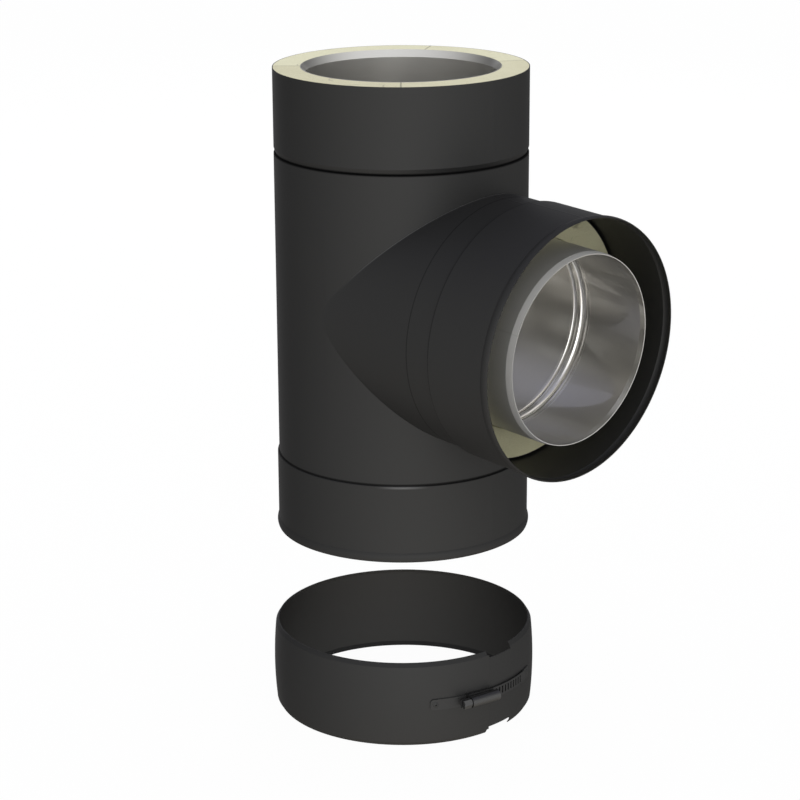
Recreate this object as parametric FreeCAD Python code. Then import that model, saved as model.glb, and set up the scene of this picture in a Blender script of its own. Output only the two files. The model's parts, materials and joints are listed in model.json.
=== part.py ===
import FreeCAD
import Part
import math
import os

from FreeCAD import Placement, Rotation, Vector

# A twin wall stove pipe tee with a 93 degree branch, and its locking band below it.
# The origin is the centre of the lower sleeve's mouth, +Z runs up the flue and the
# branch points along +X, falling slightly outwards. Lengths are millimetres.

# Sheet metal and gaps
sheet = 0.6  # coated steel of the casing and stainless steel of the liner
band_sheet = 0.8  # rolled steel of the locking band
strap_sheet = 0.8  # steel of the band's strap and screw housing
weld_gap = 0.05  # between pieces of the tee that lie against each other
slide_gap = 0.6  # between a sleeve and the casing end that goes into it
turn_gap = 0.3  # round everything that turns or slides

# Outer casing
tee_height = 373.0
insulation = 24.0  # from the liner's outside to the casing's
groove_drop = 66.0  # from the casing's top edge down to the rolled groove
groove_depth = 1.5
groove_facet = 4.0  # height of the groove's sloping side, over its crevice
groove_edge = 1.0  # and of its short side, under it

# Sleeves at the lower end and on the branch
socket_depth = 54.5  # from a sleeve's mouth to the wool inside it
sleeve_seat = 8.0  # length of sleeve on the casing behind the wool's face
bead_length = 7.5  # rounded bead at a sleeve's mouth
bead_crest = 3.2  # from the mouth to the bead's fullest round
bead_rise = 1.15
mouth_rise = 0.35  # how far the mouth itself stands out

# Liner, with its socket at the top and a spigot at each other end
liner_radius = 76.0
socket_gap = 0.8  # round a spigot in the socket of the next section
flare_height = 5.7
flare_rise = 2.3
spigot_setback = 1.9  # from a sleeve's mouth to the spigot's end
taper_length = 5.6
taper_depth = 0.9
ring_drop = 5.0  # from the wool's face to the double bead behind it
wide_bead_length = 9.5
wide_bead_rise = 1.9
bead_land = 1.3  # plain strip between the two beads
narrow_bead_length = 6.0
narrow_bead_rise = 1.1

# Branch, measured along its own axis from the tee's axis
branch_height = 191.7
branch_slope = 3.0
branch_step = 1.1  # how much smaller in radius its casing is than the tee's
saddle_neck = 7.0  # how far its saddle stands clear of the tee's casing
ring_length = 31.9  # straight ring from the saddle to the wool's face

# Mineral wool
wool_joints = (-134.0, -44.0, 59.0, 122.0)  # azimuths of the joints between its slabs
wool_joint_width = 0.3
wool_bore_gap = 0.8  # round the spigots, from the wool's face to the beads

# Locking band
band_drop = 84.0  # from the lower sleeve's mouth to the band's top edge
band_height = 70.5
bead_pass = 0.4  # room for a sleeve's bead to pass through the loosened band
lip_height = 3.2
lip_depth = 2.0
barrel_rise = 1.6
closure_azimuth = -9.2  # where the screw's middle touches the band

# Lengths along the band's round, from the screw's middle
split_start = 10.4
split_end = 36.7
lip_cut_back = 1.8  # how far the lips end before the split
tongue_underlap = 20.0
tongue_gap = 0.15
tongue_edge_drop = 2.2  # from the band's shoulder to the tongue's edge
joggle_length = 1.4
tail_start = -43.9
tail_end = 3.5
tail_rivet = -39.6
slotted_start = -12.0
slotted_end = 68.8
slotted_rivet = 64.5
slotted_joggle = 55.0
slot_start = 15.6
slot_count = 10
slot_pitch = 3.6
slot_width = 1.5
slot_length = 6.0

# Strap, rivets, screw and its housing
strap_width = 9.0
strap_corner = 2.8  # rounding of a strap's corners
strap_gap = 0.05  # between layers of strap, and under them
punch_depth = 10.0  # how far the cutters of its holes reach, in and out
rivet_radius = 1.2
rivet_bore = 0.65
rivet_head_radius = 2.3
rivet_head_height = 0.8
rivet_tail_radius = 1.95  # its head inside the band
rivet_tail_height = 0.5
housing_length = 27.0
housing_gap = 0.2  # between the housing and the straps in it
saddle_length = 20.0
saddle_wall = 0.9
worm_radius = 3.4
worm_pitch = 3.6
thread_depth = 0.8
thread_crest = 0.7  # width of a thread at its top
thread_root = 2.5  # and at its foot
neck_radius = 2.4
neck_length = 1.0
head_across_flats = 7.3
head_length = 7.4
head_slot_width = 1.3
head_slot_depth = 1.8

# Sizes that follow from those above
casing_radius = liner_radius + insulation
spigot_radius = liner_radius - sheet - socket_gap
branch_joint = casing_radius + saddle_neck
branch_reach = branch_joint + ring_length + socket_depth
sleeve_inner = casing_radius + slide_gap
sleeve_outer = sleeve_inner + sheet
bead_radius = sleeve_outer + bead_rise
sleeve_length = socket_depth + sleeve_seat
groove_height = tee_height - groove_drop
branch_casing_radius = casing_radius - branch_step
wool_outer = casing_radius - sheet - weld_gap
lip_radius = bead_radius + bead_pass + band_sheet
shoulder_radius = lip_radius + lip_depth
barrel_radius = shoulder_radius + barrel_rise
shoulder_height = band_height / 2 - lip_height
barrel_curve = (shoulder_height**2 + barrel_rise**2) / (2 * barrel_rise)
band_middle = -band_drop - band_height / 2
tongue_height = shoulder_height - tongue_edge_drop
far = 2 * (tee_height + branch_reach)


def point(radius, height):
    """A point of an outline, drawn on the back half of the XZ plane so that seams lie there."""
    return Vector(-radius, 0, height)


def outline(start, *steps):
    """A wire from start on: a step (r, z) is a straight line, (r, z, r, z) an arc by its middle."""
    edges = []
    here = point(*start)
    for step in steps:
        there = point(*step[-2:])
        if len(step) == 2:
            edges.append(Part.LineSegment(here, there).toShape())
        else:
            edges.append(Part.Arc(here, point(*step[:2]), there).toShape())
        here = there
    return Part.Wire(edges)


def turned(face, start=0.0, sweep=360.0):
    """A face of the XZ plane's back half swept about Z, from the azimuth start."""
    face = face.copy()
    face.rotate(Vector(0, 0, 0), Vector(0, 0, 1), start - 180.0)
    return face.revolve(Vector(0, 0, 0), Vector(0, 0, 1), sweep)


def sheet_face(path, thickness):
    """The section of a sheet whose outside follows a path drawn from the top down."""
    return path.makeOffset2D(thickness, 2, True, True)


def solid_face(start, *steps):
    """A closed section from an outline that ends where it started."""
    return Part.Face(outline(start, *steps, start))


def drum(radius, low, high):
    """A solid cylinder about Z."""
    return Part.makeCylinder(radius, high - low, Vector(0, 0, low))


def tube(inner, outer, low, high):
    """A plain tube about Z."""
    return drum(outer, low, high).cut(drum(inner, low - 1.0, high + 1.0))


def on_branch(shape):
    """A shape made about Z, laid along the branch's axis."""
    shape = shape.copy()
    turn = Rotation(Vector(0, 1, 0), 90.0 + branch_slope)
    shape.Placement = Placement(Vector(0, 0, branch_height), turn).multiply(shape.Placement)
    return shape


# Outer casing: one rolled tube with a groove near its top and a hole for the branch


def casing_path():
    return outline(
        (casing_radius, tee_height),
        (casing_radius, groove_height + groove_facet),
        (casing_radius - groove_depth, groove_height),
        (casing_radius, groove_height - groove_edge),
        (casing_radius, socket_depth),
    )


def outer_casing():
    casing = turned(sheet_face(casing_path(), sheet))
    hole = on_branch(drum(branch_casing_radius - sheet, 0, branch_reach))
    return casing.cut(hole)


# Branch casing: a saddle cut to the round of the tee, and a straight ring butted to it


def branch_saddle():
    stub = on_branch(tube(branch_casing_radius - sheet, branch_casing_radius, 0, branch_joint))
    return stub.cut(drum(casing_radius + weld_gap, 0, tee_height))


def branch_ring():
    low = branch_joint + weld_gap
    high = branch_reach - socket_depth
    return on_branch(tube(branch_casing_radius - sheet, branch_casing_radius, low, high))


# Sleeves: a tube with a rounded bead at the mouth, its other edge turned in onto the casing


def sleeve(carrier_radius):
    """A sleeve about Z with its mouth at zero, seated on a casing of the given radius."""
    curl = sleeve_outer - casing_radius - 2 * weld_gap
    side = sleeve_outer - curl
    end = sleeve_length - curl
    bent = curl * math.sqrt(0.5)
    path = outline(
        (carrier_radius + weld_gap, sleeve_length),
        (side, sleeve_length),
        (side + bent, end + bent, sleeve_outer, end),
        (sleeve_outer, bead_length),
        (bead_radius, bead_crest, sleeve_outer + mouth_rise, 0),
    )
    return turned(sheet_face(path, sheet))


def branch_sleeve():
    flip = Placement(Vector(0, 0, branch_reach), Rotation(Vector(1, 0, 0), 180))
    piece = sleeve(branch_casing_radius)
    piece.Placement = flip
    return on_branch(piece)


# Liner: a stainless tube, flared as a socket at the top and drawn in to a spigot below


def spigot_steps(body, grow=0.0):
    """Outline steps of a liner's plain end, from its body down to its mouth at spigot_setback.

    A wide and a narrow rolled bead stiffen it behind the wool's face. grow adds to each radius.
    """
    wide_low = socket_depth + ring_drop
    wide_top = wide_low + wide_bead_length
    narrow_low = wide_top + bead_land
    narrow_top = narrow_low + narrow_bead_length
    plain = spigot_radius + grow
    crest = max(body, spigot_radius + narrow_bead_rise) + grow
    return [
        (body + grow, narrow_top),
        (crest, (narrow_low + narrow_top) / 2, plain, narrow_low),
        (plain, wide_top),
        (plain + wide_bead_rise, (wide_low + wide_top) / 2, plain, wide_low),
        (plain, spigot_setback + taper_length),
        (plain - taper_depth, spigot_setback),
    ]


def liner_steps(grow=0.0):
    """Outline of the tee's liner from its flared top to the spigot's end."""
    start = (liner_radius + flare_rise + grow, tee_height)
    return [start, (liner_radius + grow, tee_height - flare_height)] + spigot_steps(liner_radius, grow)


def branch_liner_steps(grow=0.0):
    """Outline of the branch's liner about Z, its mouth below, from the tee's axis."""
    return [(spigot_radius + grow, branch_reach)] + spigot_steps(spigot_radius, grow)


def as_branch(shape):
    """A shape with a spigot's mouth below, turned over and laid along the branch."""
    shape = shape.copy()
    shape.Placement = Placement(Vector(0, 0, branch_reach), Rotation(Vector(1, 0, 0), 180))
    return on_branch(shape)


def core(steps):
    """Everything inside an outline of steps, as one solid about Z."""
    top = (0, steps[0][-1])
    bottom = (0, steps[-1][-1])
    return turned(solid_face(top, *steps, bottom))


def main_liner():
    steps = liner_steps()
    liner = turned(sheet_face(outline(*steps), sheet))
    hole = on_branch(drum(spigot_radius - sheet, 0, branch_reach))
    return liner.cut(hole)


def branch_liner():
    steps = branch_liner_steps()
    liner = as_branch(turned(sheet_face(outline(*steps), sheet)))
    return liner.cut(drum(liner_radius + weld_gap, 0, tee_height))


# Mineral wool: slabs between liner and casing, and two half rings in the branch


def wedge(start, end):
    """A tall prism about Z between two azimuths less than 180 degrees apart."""
    corners = [Vector(0, 0, -far)]
    for angle in (start, (start + end) / 2, end):
        turn = math.radians(angle)
        corners.append(Vector(far * math.cos(turn), far * math.sin(turn), -far))
    return Part.Face(Part.makePolygon(corners + corners[:1])).extrude(Vector(0, 0, 2 * far))


def wool_bore(steps):
    """What the wool leaves free round a liner with its mouth at zero: its form and room for a socket."""
    room = drum(spigot_radius + wool_bore_gap, 0, socket_depth + ring_drop)
    return core(steps).fuse(room)


def inside_of_casing():
    """All the room in the casing, as one solid about Z."""
    wall = casing_path().makeOffset2D(sheet + weld_gap, 2, False, True)
    corners = sorted((vertex.Point for vertex in wall.Vertexes), key=lambda corner: corner.z)
    corners = [Vector(0, 0, socket_depth)] + corners + [Vector(0, 0, tee_height)]
    return turned(Part.Face(Part.makePolygon(corners + corners[:1])))


def main_wool():
    """Slabs of wool by name, all cut to the casing, the liner and the branch's liner."""
    ring = inside_of_casing().cut(wool_bore(liner_steps(weld_gap)))
    whole = ring.cut(as_branch(core(branch_liner_steps(weld_gap))))
    half_joint = math.degrees(wool_joint_width / 2 / wool_outer)
    ends = wool_joints[1:] + (wool_joints[0] + 360.0,)
    slabs = {}
    for name, start, end in zip(("left", "front", "right", "back"), wool_joints, ends):
        slabs["wool_" + name] = whole.common(wedge(start + half_joint, end - half_joint))
    return slabs


def branch_wool():
    """The branch's two half rings of wool, over and under its liner."""
    outer = branch_casing_radius - sheet - weld_gap
    ring = on_branch(drum(outer, 0, branch_reach - socket_depth))
    ring = ring.cut(as_branch(wool_bore(branch_liner_steps(weld_gap))))
    ring = ring.cut(drum(casing_radius - sheet, -far, far))
    half = Part.makeBox(far, 2 * far, far, Vector(0, -far, wool_joint_width / 2))
    upper = ring.common(turned_box(half, 0))
    lower = ring.common(turned_box(half, 180))
    return {"branch_wool_upper": upper, "branch_wool_lower": lower}


def turned_box(box, roll):
    """A box beside the XY plane, rolled about X and laid with its edge along the branch's axis."""
    box = box.copy()
    lay = Rotation(Vector(0, 1, 0), branch_slope).multiply(Rotation(Vector(1, 0, 0), roll))
    box.Placement = Placement(Vector(0, 0, branch_height), lay)
    return box


# Locking band: a barrel shaped sheet with turned-in lips, split by a tongue under its end


def rolled_face(path, thickness):
    """The section of a rolled sheet: its outside's path, and the same path nearer the axis."""
    inward = Vector(thickness, 0, 0)
    inside = path.copy()
    inside.translate(inward)
    corners = [vertex.Point for vertex in path.OrderedVertexes]
    ends = [Part.LineSegment(end, end + inward).toShape() for end in (corners[0], corners[-1])]
    return Part.Face(Part.Wire(Part.__sortEdges__(path.Edges + ends + inside.Edges)))


def along(length):
    """The azimuth at a length along the band's round from the screw's middle."""
    return closure_azimuth + math.degrees(length / barrel_radius)


def barrel_at(height):
    """The barrel's outside radius at a height over the band's middle."""
    return barrel_radius - barrel_curve + math.sqrt(barrel_curve**2 - height**2)


def barrel_strip(inset, thickness, half_height, start, end):
    """A lipless piece of the barrel, its outside set in from the band's, between two lengths."""
    edge = barrel_at(half_height) - inset
    top = band_middle + half_height
    bottom = band_middle - half_height
    path = outline((edge, top), (barrel_radius - inset, band_middle, edge, bottom))
    sweep = along(end) - along(start)
    return turned(rolled_face(path, thickness), along(start), sweep)


def lipped_sheet():
    shoulder_top = band_middle + shoulder_height
    shoulder_bottom = band_middle - shoulder_height
    path = outline(
        (lip_radius, band_middle + band_height / 2),
        (shoulder_radius, shoulder_top),
        (barrel_radius, band_middle, shoulder_radius, shoulder_bottom),
        (lip_radius, band_middle - band_height / 2),
    )
    sweep = along(split_start) + 360.0 - along(split_end)
    return turned(rolled_face(path, band_sheet), along(split_end), sweep)


def band_shell():
    under = band_sheet + tongue_gap
    bend = split_start + joggle_length
    shell = lipped_sheet()
    lip_band = tube(lip_radius - band_sheet, shoulder_radius + band_sheet, 0, lip_height)
    cut_from = along(split_start - lip_cut_back)
    lip_end = lip_band.common(wedge(cut_from, along(split_start + lip_cut_back)))
    for low in (band_middle + shoulder_height, band_middle - band_height / 2):
        cutter = lip_end.copy()
        cutter.translate(Vector(0, 0, low))
        shell = shell.cut(cutter)
    flush = barrel_strip(0, band_sheet, tongue_height, bend, split_end)
    bent_from = split_start + weld_gap
    bent = barrel_strip(0, band_sheet + under, tongue_height, bent_from, bend)
    tucked = barrel_strip(under, band_sheet, tongue_height, split_start - tongue_underlap, bent_from)
    shell = shell.fuse([flush, bent, tucked]).removeSplitter()
    for length in (tail_rivet, slotted_rivet):
        shell = shell.cut(at_band(rivet_hole(), length))
    return shell


# Strap and rivets: a plain tail under the housing and a slotted end that the screw draws in


def at_band(shape, length):
    """A shape made about local Z, stood on the barrel: Z outwards, Y up, X along the round."""
    turn = math.radians(along(length))
    out = Vector(math.cos(turn), math.sin(turn), 0)
    side = Vector(-math.sin(turn), math.cos(turn), 0)
    frame = Rotation(side, Vector(0, 0, 1), out, "ZXY")
    place = Placement(out * barrel_radius + Vector(0, 0, band_middle), frame)
    shape = shape.copy()
    shape.Placement = place.multiply(shape.Placement)
    return shape


def rivet_hole():
    return drum(rivet_radius, -punch_depth, punch_depth)


def strap_strip(lift, start, end, thickness=strap_sheet):
    """A curved strip of strap over the barrel, between two lengths along the round."""
    low = band_middle - strap_width / 2
    high = band_middle + strap_width / 2
    inner = barrel_radius + lift
    outer = inner + thickness
    face = solid_face((inner, low), (outer, low), (outer, high), (inner, high))
    return turned(face, along(start), along(end) - along(start))


def round_end(lift, length):
    """The end of a strap with its corners rounded, as a square of its width bent to the round."""
    corner = Vector(-strap_width / 2, -strap_width / 2, -punch_depth)
    square = Part.makeBox(strap_width, strap_width, 2 * punch_depth, corner)
    upright = [edge for edge in square.Edges if edge.BoundBox.ZLength > punch_depth]
    around = strap_strip(lift, length - strap_width, length + strap_width)
    return around.common(at_band(square.makeFillet(strap_corner, upright), length))


def tail_strap():
    centre = tail_start + strap_width / 2
    strap = strap_strip(strap_gap, centre, tail_end).fuse(round_end(strap_gap, centre))
    return strap.removeSplitter().cut(at_band(rivet_hole(), tail_rivet))


def slotted_strap():
    raised = 2 * strap_gap + strap_sheet
    centre = slotted_end - strap_width / 2
    bend_end = slotted_joggle + joggle_length
    strap = strap_strip(raised, slotted_start, slotted_joggle)
    bent = strap_strip(strap_gap, slotted_joggle, bend_end, raised + strap_sheet - strap_gap)
    seated = strap_strip(strap_gap, bend_end, centre)
    strap = strap.fuse([bent, seated, round_end(strap_gap, centre)]).removeSplitter()
    corner = Vector(-slot_width / 2, -slot_length / 2, -punch_depth)
    slot = Part.makeBox(slot_width, slot_length, 2 * punch_depth, corner)
    slots = [at_band(slot, slot_start + step * slot_pitch) for step in range(slot_count)]
    return strap.cut(slots).cut(at_band(rivet_hole(), slotted_rivet))


def rivet(length):
    """A hollow rivet through strap and band: a domed head outside and a flat one inside."""
    top = strap_gap + strap_sheet + weld_gap
    bottom = -band_sheet - weld_gap
    shank = rivet_radius - weld_gap
    middle = (rivet_bore + rivet_head_radius) / 2

    def dome(radius):
        return top + rivet_head_height * (1 - (radius / rivet_head_radius) ** 2)

    section = solid_face(
        (rivet_bore, bottom - rivet_tail_height),
        (rivet_tail_radius, bottom - rivet_tail_height),
        (rivet_tail_radius, bottom),
        (shank, bottom),
        (shank, top),
        (rivet_head_radius, top),
        (middle, dome(middle), rivet_bore, dome(rivet_bore)),
    )
    return at_band(turned(section), length)


# Screw housing: an arch round the worm on a saddle that straddles both straps


def strap_top():
    """Height over the barrel of the slotted strap's outer face."""
    return 2 * strap_gap + 2 * strap_sheet


def screw_lift():
    """Height of the screw's axis over the barrel at its middle."""
    return strap_top() + turn_gap + worm_radius


def lengthwise(shape):
    """A shape made about local Z, laid along local X at the screw's height."""
    shape = shape.copy()
    lay = Placement(Vector(0, 0, screw_lift()), Rotation(Vector(0, 1, 0), 90))
    shape.Placement = lay.multiply(shape.Placement)
    return shape


def screw_housing():
    bore = worm_radius + turn_gap
    half = housing_length / 2
    side = strap_width / 2 + housing_gap
    width = 2 * (side + saddle_wall)
    roof = strap_top() + housing_gap + saddle_wall
    arch = lengthwise(drum(bore + strap_sheet, -half, half))
    saddle = Part.makeBox(saddle_length, width, 2 * roof, Vector(-half, -width / 2, -roof))
    housing = at_band(arch.fuse(saddle).removeSplitter(), 0)
    housing = housing.cut(at_band(lengthwise(drum(bore, -housing_length, housing_length)), 0))
    channel = drum(barrel_radius + strap_top() + housing_gap, -side, side)
    channel.translate(Vector(0, 0, band_middle))
    under = drum(barrel_radius + strap_gap, -width, width)
    under.translate(Vector(0, 0, band_middle))
    return housing.cut([channel, under])


# Worm screw: a threaded worm with a neck and a slotted hexagon head


def worm_screw():
    half = housing_length / 2
    worm_low = -half + neck_length
    worm_high = half - neck_length
    root = worm_radius - thread_depth
    worm = drum(root, worm_low, worm_high)
    ridge = solid_face(
        (root / 2, thread_root / 2),
        (root, thread_root / 2),
        (worm_radius, thread_crest / 2),
        (worm_radius, -thread_crest / 2),
        (root, -thread_root / 2),
        (root / 2, -thread_root / 2),
    )
    turns = int((worm_high - worm_low) / worm_pitch)
    for step in range(turns):
        collar = turned(ridge)
        collar.translate(Vector(0, 0, worm_low + (step + 0.5) * worm_pitch))
        worm = worm.fuse(collar)
    high = -half - turn_gap
    low = high - head_length
    neck = drum(neck_radius, high, worm_low)
    corner = head_across_flats / math.sqrt(3)
    bevel = corner - head_across_flats / 2
    rounder = solid_face(
        (0, low),
        (corner - bevel, low),
        (corner, low + bevel),
        (corner, high - bevel),
        (corner - bevel, high),
        (0, high),
    )
    flats = [Vector(corner, 0, low)]
    for side in range(6):
        flats.append(Rotation(Vector(0, 0, 1), 60).multVec(flats[side]))
    head = Part.Face(Part.makePolygon(flats)).extrude(Vector(0, 0, head_length))
    head = head.common(turned(rounder))
    slot = Part.makeBox(head_slot_width, 4 * corner, 2 * head_slot_depth)
    slot.translate(Vector(-head_slot_width / 2, -2 * corner, low - head_slot_depth))
    screw = worm.fuse([neck, head.cut(slot)]).removeSplitter()
    return at_band(lengthwise(screw), 0)


pieces = {
    "outer_casing": outer_casing(),
    "branch_saddle": branch_saddle(),
    "branch_ring": branch_ring(),
    "lower_sleeve": sleeve(casing_radius),
    "branch_sleeve": branch_sleeve(),
    "main_liner": main_liner(),
    "branch_liner": branch_liner(),
    "band_shell": band_shell(),
    "tail_strap": tail_strap(),
    "slotted_strap": slotted_strap(),
    "tail_rivet": rivet(tail_rivet),
    "slotted_rivet": rivet(slotted_rivet),
    "screw_housing": screw_housing(),
    "worm_screw": worm_screw(),
}
pieces.update(main_wool())
pieces.update(branch_wool())

os.makedirs("parts", exist_ok=True)
for name, shape in pieces.items():
    print(name, len(shape.Solids), "solid", round(shape.Volume / 1000, 2), "cm3", shape.isValid())
    shape.exportStep("parts/" + name + ".step")
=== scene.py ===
import json
import math

import bpy
from mathutils import Matrix, Vector


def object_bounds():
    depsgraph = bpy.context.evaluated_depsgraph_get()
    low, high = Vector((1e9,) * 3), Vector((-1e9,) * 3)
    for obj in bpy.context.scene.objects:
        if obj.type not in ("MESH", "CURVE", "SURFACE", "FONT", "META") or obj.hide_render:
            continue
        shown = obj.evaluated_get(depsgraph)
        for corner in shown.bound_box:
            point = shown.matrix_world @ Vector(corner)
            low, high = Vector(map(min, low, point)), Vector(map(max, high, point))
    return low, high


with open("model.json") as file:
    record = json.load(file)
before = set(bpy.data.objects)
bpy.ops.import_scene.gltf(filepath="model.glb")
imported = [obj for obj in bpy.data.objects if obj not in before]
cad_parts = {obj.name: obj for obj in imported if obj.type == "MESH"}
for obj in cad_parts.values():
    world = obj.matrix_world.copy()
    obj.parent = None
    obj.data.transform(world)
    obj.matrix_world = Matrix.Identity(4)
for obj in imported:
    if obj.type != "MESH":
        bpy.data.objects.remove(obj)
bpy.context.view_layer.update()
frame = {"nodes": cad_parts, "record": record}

nodes = frame["nodes"]
mounts = {mount["name"]: mount for mount in frame["record"]["mounts"]}


# Camera
# It stands in front of the tee and a little above its top, with the branch coming
# towards it at the right. Its place and lens were fitted to the edges of the tee.
camera_place = (1.3748, -1.3244, 0.6860)
camera_heading = math.radians(46.13)
camera_tilt = math.radians(17.02)
camera_roll = math.radians(-0.28)
camera_lens = 111.29
film_width = 36.0
nearest_seen = 0.05
farthest_seen = 50.0

camera = bpy.data.objects.new("camera", bpy.data.cameras.new("camera"))
camera.data.lens = camera_lens
camera.data.sensor_width = film_width
camera.data.clip_start = nearest_seen
camera.data.clip_end = farthest_seen
camera.matrix_world = (
    Matrix.Translation(camera_place)
    @ Matrix.Rotation(camera_heading, 4, "Z")
    @ Matrix.Rotation(math.pi / 2 - camera_tilt, 4, "X")
    @ Matrix.Rotation(camera_roll, 4, "Z")
)
bpy.context.scene.collection.objects.link(camera)
bpy.context.scene.camera = camera
bpy.context.scene.view_settings.view_transform = "Standard"


# Studio
# A pale floor under the band and a white backdrop for the camera. What lights the tee and
# lies in its metal is a soft room: bright in front, dim behind, warm below, with a ceiling.
class Value:
    """A socket that varies over a surface. Arithmetic on it adds Math nodes to its tree."""

    def __init__(self, shading, socket):
        self.shading = shading
        self.socket = socket

    def math(self, operation, *values):
        return self.shading.node("Math", {"operation": operation}, dict(enumerate(values)))

    def __add__(self, other):
        return self.math("ADD", self, other)

    def __radd__(self, other):
        return self.math("ADD", other, self)

    def __sub__(self, other):
        return self.math("SUBTRACT", self, other)

    def __rsub__(self, other):
        return self.math("SUBTRACT", other, self)

    def __mul__(self, other):
        return self.math("MULTIPLY", self, other)

    def __rmul__(self, other):
        return self.math("MULTIPLY", other, self)

    def __pow__(self, power):
        return self.math("POWER", self, power)

    def __abs__(self):
        return self.math("ABSOLUTE", self)

    def root(self):
        return self.math("SQRT", self)

    def largest(self, other):
        return self.math("MAXIMUM", self, other)

    def rising(self, low, high):
        """0 up to low, 1 from high on, and a smooth slope between them."""
        sockets = {"Value": self, "From Min": low, "From Max": high}
        return self.shading.node("MapRange", {"interpolation_type": "SMOOTHSTEP"}, sockets)

    def falling(self, low, high):
        return 1 - self.rising(low, high)

    def near(self, middle, width):
        """1 at middle, falling smoothly to 0 at half a width to each side."""
        return 1 - abs(self - middle).rising(0.0, width / 2)


class Shading:
    """The node tree of a material or of the world."""

    def __init__(self, tree):
        self.tree = tree

    def node(self, kind, settings=(), sockets=(), out=0):
        """A new node with its settings, then its sockets, as the value of one of its outputs."""
        made = self.tree.nodes.new("ShaderNode" + kind)
        for name, value in dict(settings).items():
            setattr(made, name, value)
        self.feed(made, sockets)
        return Value(self, made.outputs[out])

    def feed(self, made, sockets):
        """Links values to a node's sockets or sets them. A colour is red, green and blue."""
        for name, value in dict(sockets).items():
            socket = made.inputs[name]
            if isinstance(value, Value):
                self.tree.links.new(value.socket, socket)
            elif socket.type == "RGBA":
                socket.default_value = (*value, 1.0)
            else:
                socket.default_value = value

    def mixed(self, factor, first, second):
        """A colour between two colours."""
        return self.node("Mix", {"data_type": "RGBA"}, {0: factor, 6: first, 7: second}, out=2)

    def scaled(self, vector, factors):
        """A vector or a colour, each of its parts times its own factor."""
        return self.node("VectorMath", {"operation": "MULTIPLY"}, {0: vector, 1: factors})

    def dot(self, vector, direction):
        sockets = {0: vector, 1: direction}
        return self.node("VectorMath", {"operation": "DOT_PRODUCT"}, sockets, out="Value")

    def noise(self, vector, scale, detail=2.0, roughness=0.5):
        sockets = {"Vector": vector, "Scale": scale, "Detail": detail, "Roughness": roughness}
        return self.node("TexNoise", {}, sockets)

    def bump(self, height, distance, normal=None):
        sockets = {"Height": height, "Distance": distance, "Strength": 1.0}
        if normal:
            sockets["Normal"] = normal
        return self.node("Bump", {}, sockets)


white = (1.0, 1.0, 1.0)
floor_drop = 0.0005
floor_size = 12.0
floor_white = (0.50, 0.50, 0.50)
floor_glow = 0.94
floor_brightness = 1.03
room_turn = math.radians(9.0)
room_front = (1.42, 1.42, 1.40)
room_back = (0.05, 0.05, 0.053)
room_grading = 1.5
room_backdrop = (0.38, 0.38, 0.39)
backdrop_span = (0.7, 1.0)
upwards = (0.0, 0.0, 1.0)
warm_below = (1.06, 1.0, 0.92)
warm_span = (-0.8, -0.1)
mirrored_ceiling = (0.31, 0.31, 0.37)
mirrored_ceiling_span = (0.42, 0.8)
lighting_ceiling = (0.90, 0.91, 0.97)
lighting_ceiling_span = (0.3, 0.8)

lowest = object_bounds()[0]
floor_mesh = bpy.data.meshes.new("floor")
half = floor_size / 2
floor_corners = [(-half, -half, 0), (half, -half, 0), (half, half, 0), (-half, half, 0)]
floor_mesh.from_pydata(floor_corners, [], [(0, 1, 2, 3)])
floor = bpy.data.objects.new("floor", floor_mesh)
floor.location.z = lowest.z - floor_drop
bpy.context.scene.collection.objects.link(floor)
floor_material = bpy.data.materials.new("floor")
floor_material.use_nodes = True
floor_shading = Shading(floor_material.node_tree)
floor_shading.tree.nodes.clear()
from_camera = floor_shading.node("LightPath", out="Is Camera Ray")
matt = floor_shading.node("BsdfDiffuse", {}, {"Color": floor_white})
glow = floor_shading.node("Emission", {}, {"Strength": floor_brightness})
shown = floor_shading.node("MixShader", {}, {0: from_camera * floor_glow, 1: matt, 2: glow})
floor_output = floor_shading.tree.nodes.new("ShaderNodeOutputMaterial")
floor_shading.feed(floor_output, {"Surface": shown})
floor_mesh.materials.append(floor_material)
floor.visible_glossy = False

world = bpy.data.worlds.new("studio")
bpy.context.scene.world = world
world.use_nodes = True
room = Shading(world.node_tree)
room.tree.nodes.clear()
towards = room.node("TexCoord", out="Generated")
room_heading = camera_heading + room_turn
depth = room.dot(towards, (-math.sin(room_heading), math.cos(room_heading), 0.0))
height = room.dot(towards, upwards)
frontness = 0.5 - 0.5 * depth
walls = room.mixed(frontness ** room_grading, room_back, room_front)
walls = room.mixed(depth.rising(*backdrop_span), walls, room_backdrop)
walls = room.scaled(walls, room.mixed(height.falling(*warm_span), white, warm_below))
mirrored_room = room.mixed(height.rising(*mirrored_ceiling_span), walls, mirrored_ceiling)
lighting_room = room.mixed(height.rising(*lighting_ceiling_span), walls, lighting_ceiling)
mirrored = room.node("Background", {}, {"Color": mirrored_room, "Strength": 1.0})
lighting = room.node("Background", {}, {"Color": lighting_room, "Strength": 1.0})
backdrop = room.node("Background", {}, {"Color": white, "Strength": 1.0})
by_mirror = room.node("LightPath", out="Is Glossy Ray")
by_mirror = by_mirror.largest(room.node("LightPath", out="Is Transmission Ray"))
from_camera = room.node("LightPath", out="Is Camera Ray")
unseen = room.node("MixShader", {}, {0: by_mirror, 1: lighting, 2: mirrored})
whole = room.node("MixShader", {}, {0: from_camera, 1: unseen, 2: backdrop})
world_output = room.tree.nodes.new("ShaderNodeOutputWorld")
room.feed(world_output, {"Surface": whole})


# Lamps
# Two soft white lamps. The front one is weak and only helps the room, and the one behind
# and above lights the tee's far side and the wool, without lying in any metal.
tee_middle = Vector((0.0, 0.0, 0.15))


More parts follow.
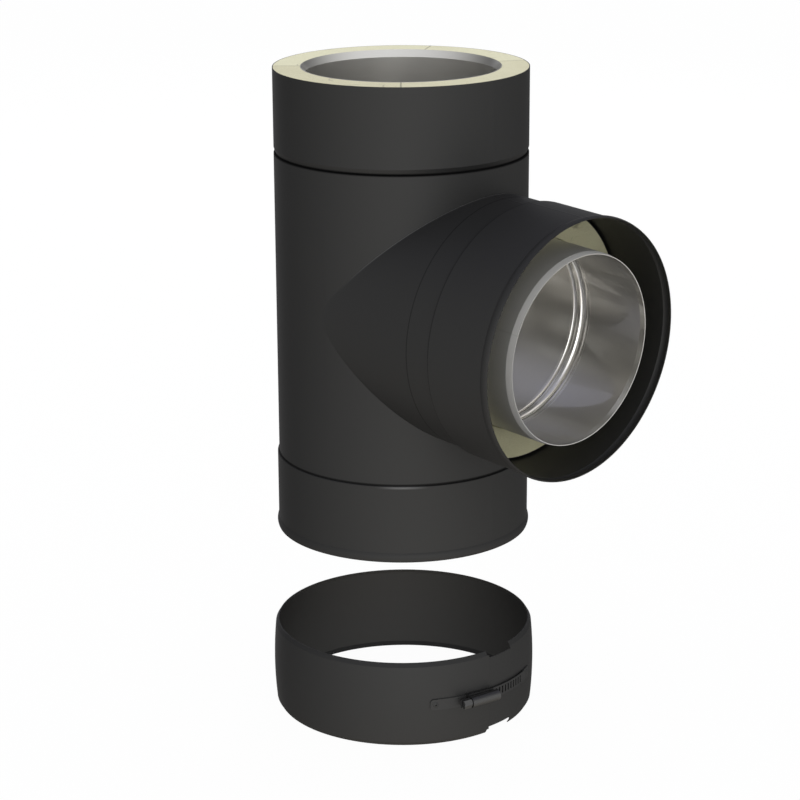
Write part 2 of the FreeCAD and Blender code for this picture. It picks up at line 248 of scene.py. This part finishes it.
def soft_lamp(name, heading, rise, distance, width, length, power):
    """A rectangular lamp that points at the tee, its heading in degrees from the camera's."""
    data = bpy.data.lights.new(name, "AREA")
    data.shape = "RECTANGLE"
    data.size = width
    data.size_y = length
    data.energy = power
    lamp = bpy.data.objects.new(name, data)
    turn = camera_heading + math.radians(heading)
    up = math.radians(rise)
    towards_lamp = Vector(
        (math.sin(turn) * math.cos(up), -math.cos(turn) * math.cos(up), math.sin(up))
    )
    lamp.location = tee_middle + towards_lamp * distance
    lamp.rotation_mode = "QUATERNION"
    lamp.rotation_quaternion = (-towards_lamp).to_track_quat("-Z", "Y")
    bpy.context.scene.collection.objects.link(lamp)
    return lamp


soft_lamp("front_lamp", heading=7.0, rise=7.0, distance=3.5, width=2.2, length=1.8, power=6.0)
back_lamp = soft_lamp(
    "back_lamp", heading=172.0, rise=25.0, distance=3.0, width=1.5, length=1.2, power=20.0
)
back_lamp.visible_glossy = False


# Casing, saddle, ring and sleeves
# Sheet steel rolled to tubes and coated with fine matt black powder, which dries to a
# faint orange peel. Each tube has a lengthwise weld. Painted shade darkens the groove,
# the sleeves' edges and the ring's joint. A painted highlight lies on the front of the lower
# sleeve's edge and on the saddle's.
coat_black = (0.0095, 0.0095, 0.0095)
coat_black_worn = (0.0120, 0.0118, 0.0115)
# Painted highlight: the colour laid along the edges of the lower sleeve and the saddle
coat_painted_highlight = (0.14, 0.14, 0.138)
# Painted shade: the colour of the dark lines in the groove and the joints
painted_shade_black = (0.0015, 0.0015, 0.0015)
coat_specular = 0.46
coat_roughness = 0.50
cloud_scale = 9.0
cloud_edges = (0.35, 0.7)
cloud_wear = 0.6
cloud_gloss = 0.06
powder_scale = 5200.0
powder_depth = 0.000012
powder_wear = 0.4
powder_gloss = 0.05
peel_scale = 900.0
peel_depth = 0.000035
weld_width = 0.0026
weld_depth = 0.00022
weld_ripple_scale = 260.0
weld_ripple = 0.4
facing = 0.01

# Height up a tube's axis, width and depth of each line of painted shade
groove_painted_shade = (0.3067, 0.0036, 0.88)
sleeve_edge_painted_shade = (0.0630, 0.0028, 0.72)
ring_joint_painted_shade = (0.1070, 0.0018, 0.40)
branch_sleeve_painted_shade = (0.1314, 0.0028, 0.50)

# Where the painted highlights lie, on the lower sleeve's edge and the saddle's edge
sleeve_edge_height = 0.0613
sleeve_edge_width = 0.0034
sleeve_glint_azimuth = -44.0
sleeve_glint_length = 0.046
saddle_edge_radius = 0.1001
saddle_edge_width = 0.0020
saddle_highlight_span = (0.21, 0.26)
saddle_highlight_depth = 0.6


def finish(name):
    """A new material, its shading, its Principled shader and the place of a surface point."""
    material = bpy.data.materials.new(name)
    material.use_nodes = True
    shading = Shading(material.node_tree)
    shader = material.node_tree.nodes["Principled BSDF"]
    place = shading.node("TexCoord", out="Object")
    return material, shading, shader, place


def parts_of(shading, vector):
    """The three coordinates of a vector, as values."""
    split = shading.tree.nodes.new("ShaderNodeSeparateXYZ")
    shading.feed(split, {0: vector})
    return [Value(shading, split.outputs[axis]) for axis in "XYZ"]


def distance_from_axis(x, y):
    return (x * x + y * y).root()


def toned(colour, tone):
    return [tone * channel for channel in colour]


def branch_foot():
    """Where the branch's axis meets the tee's."""
    axis = Vector(mounts["branch_end"]["axis"])
    end = Vector(mounts["branch_end"]["pos_m"])
    return end - axis * (end.x / axis.x)


def along_branch(shading, place):
    """A place turned so that Z is the branch's axis, with zero where it meets the tee's."""
    turn = Vector(mounts["branch_end"]["axis"]).to_track_quat("Z", "Y").inverted().to_euler()
    shifted = shading.node("VectorMath", {"operation": "SUBTRACT"}, {0: place, 1: branch_foot()})
    sockets = {"Vector": shifted, "Rotation": turn}
    return shading.node("VectorRotate", {"rotation_type": "EULER_XYZ"}, sockets)


def upright_line(shading, place, azimuth, width):
    """1 along a line up a tube about Z, at an azimuth in degrees, and 0 off it."""
    out = (math.cos(math.radians(azimuth)), math.sin(math.radians(azimuth)), 0.0)
    side = (-out[1], out[0], 0.0)
    across = shading.dot(place, side)
    outwards = shading.dot(place, out)
    return across.near(0.0, width) * outwards.rising(0.0, facing)


def sleeve_painted_glint(shading, place):
    """1 on the front of the lower sleeve's turned edge, where a glint is painted."""
    z = parts_of(shading, place)[2]
    in_front = upright_line(shading, place, sleeve_glint_azimuth, sleeve_glint_length)
    return z.near(sleeve_edge_height, sleeve_edge_width) * in_front


def saddle_painted_highlight(shading, place):
    """Up to its depth along the saddle's upper edge, where cut sheet lies against the casing and a
    highlight is painted.
    """
    x, y, z = parts_of(shading, place)
    at_edge = distance_from_axis(x, y).near(saddle_edge_radius, saddle_edge_width)
    return at_edge * z.rising(*saddle_highlight_span) * saddle_highlight_depth


def black_coat(
    name, painted_shades=(), painted_highlight_mask=None, on_branch=False, weld_at=None, roughness=coat_roughness, tone=1.0
):
    """Coated steel, with two lines of painted shade or none, a painted highlight or none, and a weld
    or none.
    """
    material, shading, shader, place = finish(name)
    painted_highlight = painted_highlight_mask(shading, place) if painted_highlight_mask else 0.0
    if on_branch:
        place = along_branch(shading, place)
    clouds = shading.noise(place, cloud_scale, detail=3.0)
    powder = shading.noise(place, powder_scale, roughness=0.7)
    peel = shading.noise(place, peel_scale, detail=1.0)
    wear = clouds.rising(*cloud_edges) * cloud_wear + powder * powder_wear
    colour = shading.mixed(wear, toned(coat_black, tone), toned(coat_black_worn, tone))
    # The painted highlight is mixed into the coat's colour here.
    colour = shading.mixed(painted_highlight, colour, coat_painted_highlight)
    normal = shading.bump(peel, peel_depth)
    normal = shading.bump(powder, powder_depth, normal)
    if weld_at is not None:
        rippled = 1 - weld_ripple + weld_ripple * shading.noise(place, weld_ripple_scale)
        weld = upright_line(shading, place, weld_at, weld_width) * rippled
        normal = shading.bump(weld, weld_depth, normal)
    shading.feed(shader, {
        "Base Color": colour,
        "Roughness": roughness + cloud_gloss * (clouds - 0.5) + powder_gloss * powder,
        "Specular IOR Level": coat_specular,
        "Normal": normal,
    })
    # Painted shade: the coat is mixed towards black at the listed heights, for the shade in the
    # groove and the joints.
    if painted_shades:
        z = parts_of(shading, place)[2]
        first, second = [z.near(middle, width) * shade for middle, width, shade in painted_shades]
        coat = Value(shading, shader.outputs[0])
        shadow = shading.node("BsdfDiffuse", {}, {"Color": painted_shade_black})
        whole_coat = shading.node("MixShader", {}, {0: first.largest(second), 1: coat, 2: shadow})
        shading.feed(material.node_tree.nodes["Material Output"], {"Surface": whole_coat})
    return material


def dress(node, material):
    """Gives every material slot of a solid the same finish."""
    for slot in nodes[node].material_slots:
        slot.material = material


tube_coat = black_coat(
    "black_coat_of_tee", (groove_painted_shade, sleeve_edge_painted_shade), sleeve_painted_glint, weld_at=180.0
)
# Painted light: the branch's coat is the tee's powder made 1.35 times lighter, for the stronger
# light that falls on the branch.
branch_coat_painted_lighter = black_coat(
    "black_coat_of_branch", (ring_joint_painted_shade, branch_sleeve_painted_shade), saddle_painted_highlight,
    on_branch=True, weld_at=90.0, tone=1.35,
)
for node in ("outer_casing", "lower_sleeve"):
    dress(node, tube_coat)
for node in ("branch_saddle", "branch_ring", "branch_sleeve"):
    dress(node, branch_coat_painted_lighter)


# Liners
# Thin stainless tubes, bright from the rolling mill, with a faint grain round them that
# the drawing left, and one lengthwise laser weld. The rollers burnished the two beads and
# left the outside of the spigot's end matt, and its drawn-in edge the dullest.
steel_light = (0.70, 0.69, 0.66)
steel_dark = (0.60, 0.59, 0.56)
steel_burnished = (0.92, 0.91, 0.88)
steel_roughness = 0.33
steel_lustre = 0.9
lustre_roughness = 0.03
lustre_ior = 2.6
bead_burnish = 0.16
outside_roughness = 0.10
outside_dullness = 0.3
edge_dullness = 0.45
grain_scale = 2600.0
grain_flatness = 30.0
grain_depth = 0.000006
grain_tint = 0.5
grain_gloss = 0.03
smear_scale = 22.0
smear_tint = 0.5
smear_gloss = 0.04
liner_weld_tint = 0.4
liner_weld_depth = 0.3 * weld_depth
spigot_radius = mounts["branch_spigot"]["dims"]["r_mm"] / 1000
spigot_sheet = 0.0006
face_blend = 0.1 * spigot_sheet

# Distances from a sleeve's mouth, which the spigot's end nearly reaches
taper_end = 0.0075
taper_blend = 0.0003
taper_slope = 0.16
plain_end = 0.0575
plain_blend = 0.001
beads_end = 0.079
bead_blend = 0.003


def spigot_outside(x, y, from_mouth):
    """1 on the outer face of a spigot's end, told from the inner by the sheet's middle."""
    drawn_in = (taper_end - from_mouth).largest(0.0) * taper_slope
    middle = spigot_radius - spigot_sheet / 2
    from_axis = distance_from_axis(x, y) + drawn_in
    on_outside = from_axis.rising(middle - face_blend, middle + face_blend)
    return on_outside * from_mouth.falling(plain_end, plain_end + plain_blend)


def stainless(name, on_branch=False, weld_at=0.0):
    material, shading, shader, place = finish(name)
    if on_branch:
        place = along_branch(shading, place)
    x, y, z = parts_of(shading, place)
    branch_mouth = Vector(mounts["branch_end"]["pos_m"]) - branch_foot()
    from_mouth = branch_mouth.length - z if on_branch else z
    outside = spigot_outside(x, y, from_mouth)
    drawn_edge = outside * from_mouth.falling(taper_end, taper_end + taper_blend)
    burnished = from_mouth.rising(plain_end, plain_end + bead_blend)
    burnished = burnished * from_mouth.falling(beads_end - bead_blend, beads_end)
    stretched = shading.scaled(place, (1.0, 1.0, grain_flatness))
    grain = shading.noise(stretched, grain_scale / grain_flatness, detail=3.0, roughness=0.6)
    smears = shading.noise(place, smear_scale, detail=3.0)
    weld = upright_line(shading, place, weld_at, weld_width)
    tint = grain * grain_tint + smears * smear_tint + weld * liner_weld_tint
    rolled = shading.mixed(tint, steel_light, steel_dark)
    roughness = steel_roughness + smear_gloss * smears + grain_gloss * grain
    normal = shading.bump(weld, liner_weld_depth)
    normal = shading.bump(grain, grain_depth, normal)
    shading.feed(shader, {
        "Base Color": shading.mixed(burnished, rolled, steel_burnished),
        "Metallic": 1.0 - outside_dullness * outside - edge_dullness * drawn_edge,
        "Roughness": roughness + outside_roughness * outside - bead_burnish * burnished,
        "Coat Weight": steel_lustre * (1 - outside),
        "Coat Roughness": lustre_roughness,
        "Coat IOR": lustre_ior,
        "Normal": normal,
    })
    return material


dress("main_liner", stainless("stainless_of_tee", weld_at=-60.0))
dress("branch_liner", stainless("stainless_of_branch", on_branch=True, weld_at=160.0))


# Mineral wool
# Slabs of pressed pale yellow wool, cut with a knife, so that the fibres lie flat on the
# cut faces in short streaks, with small tears. They are packed dry between liner and
# casing, butted at joints that show, and each differs a little from its neighbours in shade.
wool_pale = (0.81, 0.79, 0.54)
wool_deep = (0.60, 0.56, 0.35)
wool_shadow = (0.20, 0.18, 0.11)
wool_roughness = 0.92
wool_specular = 0.12
sheen_roughness = 0.5
sheen_tint = (0.95, 0.93, 0.78)
slab_shades = {"wool_left": 0.75, "wool_front": 0.60, "wool_right": 0.12, "wool_back": 0.05}
slab_joints = (-134.0, -44.0, 59.0, 122.0)
joint_width = 0.0024
joint_shade = 0.8
fibre_scale = 1500.0
fibre_depth = 0.00025
fibre_stretch = 0.16
fibre_shade = 0.5
fibre_roughness = 0.06
tuft_scale = 260.0
tuft_depth = 0.0005
tuft_edges = (0.62, 0.86)
tuft_shade = 0.35
patch_scale = 38.0
patch_shade = 0.6
wool_lightening = 0.35
tear_spacing = 24.0
tear_width = 0.0012
tear_shade = 0.7
tear_bend_scale = 60.0
tear_bend = (0.02, 0.02, 0.02)
tear_group_scale = 45.0
tear_group_edges = (0.58, 0.66)
# Painted shade: the branch's wool is the same wool made a little darker and given less sheen, for
# the shade it lies in inside the sleeve.
branch_wool_painted_shade = 0.92
branch_wool_shaded_sheen = 0.15
along_x, along_y = 0, 1


def torn(shading, place):
    """1 on short bent lines, which lie in groups here and there."""
    bend = {"Vector": place, "Scale": tear_bend_scale, "Detail": 1.0}
    bend = shading.node("TexNoise", {}, bend, out="Color")
    bent = {0: bend, 1: tear_bend, 2: place}
    bent = shading.node("VectorMath", {"operation": "MULTIPLY_ADD"}, bent)
    cells = {"Vector": bent, "Scale": tear_spacing}
    to_tear = shading.node("TexVoronoi", {"feature": "DISTANCE_TO_EDGE"}, cells)
    groups = shading.noise(place, tear_group_scale, detail=1.0)
    in_group = groups.rising(*tear_group_edges)
    return to_tear.falling(0.0, tear_width * tear_spacing) * in_group


def cut_wool(name, shade, streak_axis, joints=(), tone=1.0, sheen=0.7):
    """Wool with streaks along one axis, a shade of 0 being the palest and 1 the deepest."""
    material, shading, shader, place = finish(name)
    stretch = [1.0, 1.0, 1.0]
    stretch[streak_axis] = fibre_stretch
    stretched = shading.scaled(place, stretch)
    fibres = shading.noise(stretched, fibre_scale, detail=4.0, roughness=0.65)
    tufts = shading.noise(place, tuft_scale, detail=4.0, roughness=0.6)
    patches = shading.noise(place, patch_scale, detail=3.0)
    dark = tufts.rising(*tuft_edges) * tuft_shade
    for azimuth in joints:
        dark = dark.largest(upright_line(shading, place, azimuth, joint_width) * joint_shade)
    dark = dark.largest(torn(shading, place) * tear_shade)
    depth_of_shade = fibres * fibre_shade + patches * patch_shade + shade - wool_lightening
    body = shading.mixed(depth_of_shade, toned(wool_pale, tone), toned(wool_deep, tone))
    normal = shading.bump(tufts, tuft_depth)
    normal = shading.bump(fibres, fibre_depth, normal)
    shading.feed(shader, {
        "Base Color": shading.mixed(dark, body, toned(wool_shadow, tone)),
        "Roughness": wool_roughness + fibre_roughness * fibres,
        "Specular IOR Level": wool_specular,
        "Sheen Weight": sheen,
        "Sheen Roughness": sheen_roughness,
        "Sheen Tint": sheen_tint,
        "Normal": normal,
    })
    return material


for slab, shade in slab_shades.items():
    dress(slab, cut_wool("cut_" + slab, shade, along_x, slab_joints))
# The branch's half rings take the darker copy of the wool, with its painted shade.
for half_ring, shade in (("branch_wool_upper", 0.20), ("branch_wool_lower", 0.14)):
    shaded_ring_wool = cut_wool("cut_" + half_ring, shade, along_y, tone=branch_wool_painted_shade, sheen=branch_wool_shaded_sheen)
    dress(half_ring, shaded_ring_wool)


# Locking band
# A strip of sheet steel rolled to a barrel with turned-in lips, split and so without a
# weld, coated like the tee but with a slightly glossier powder.
dress("band_shell", black_coat("black_coat_of_band", roughness=0.46, tone=1.15))


# Straps, rivets, housing and screw
# Pressed from steel strip. The straps, plated dull and dark, are riveted to the band's
# sheet. The housing is folded round them over the screw, and both shine a little.
drawn_stretch = (0.3, 0.3, 4.0)
drawn_scale = 900.0
drawn_depth = 0.00002
drawn_shade = 0.4
speck_scale = 1300.0
speck_edges = (0.6, 0.8)
speck_shade = 0.2
speck_gloss = 0.12


def grey(level):
    return (level, level, level)


def clip_metal(name, dark, bright, metallic, roughness):
    material, shading, shader, place = finish(name)
    stretched = shading.scaled(place, drawn_stretch)
    drawn = shading.noise(stretched, drawn_scale, detail=3.0, roughness=0.6)
    specks = shading.noise(place, speck_scale)
    shade = drawn * drawn_shade + specks.rising(*speck_edges) * speck_shade
    shading.feed(shader, {
        "Base Color": shading.mixed(shade, bright, dark),
        "Metallic": metallic,
        "Roughness": roughness + speck_gloss * specks,
        "Normal": shading.bump(drawn, drawn_depth),
    })
    return material


strap_metal = clip_metal("strap_metal", grey(0.014), grey(0.022), metallic=0.0, roughness=0.5)
housing_metal = clip_metal("housing_metal", grey(0.05), grey(0.10), metallic=0.9, roughness=0.26)
screw_metal = clip_metal("screw_metal", grey(0.05), grey(0.12), metallic=0.85, roughness=0.30)
for node in ("tail_strap", "slotted_strap", "tail_rivet", "slotted_rivet"):
    dress(node, strap_metal)
dress("screw_housing", housing_metal)
dress("worm_screw", screw_metal)
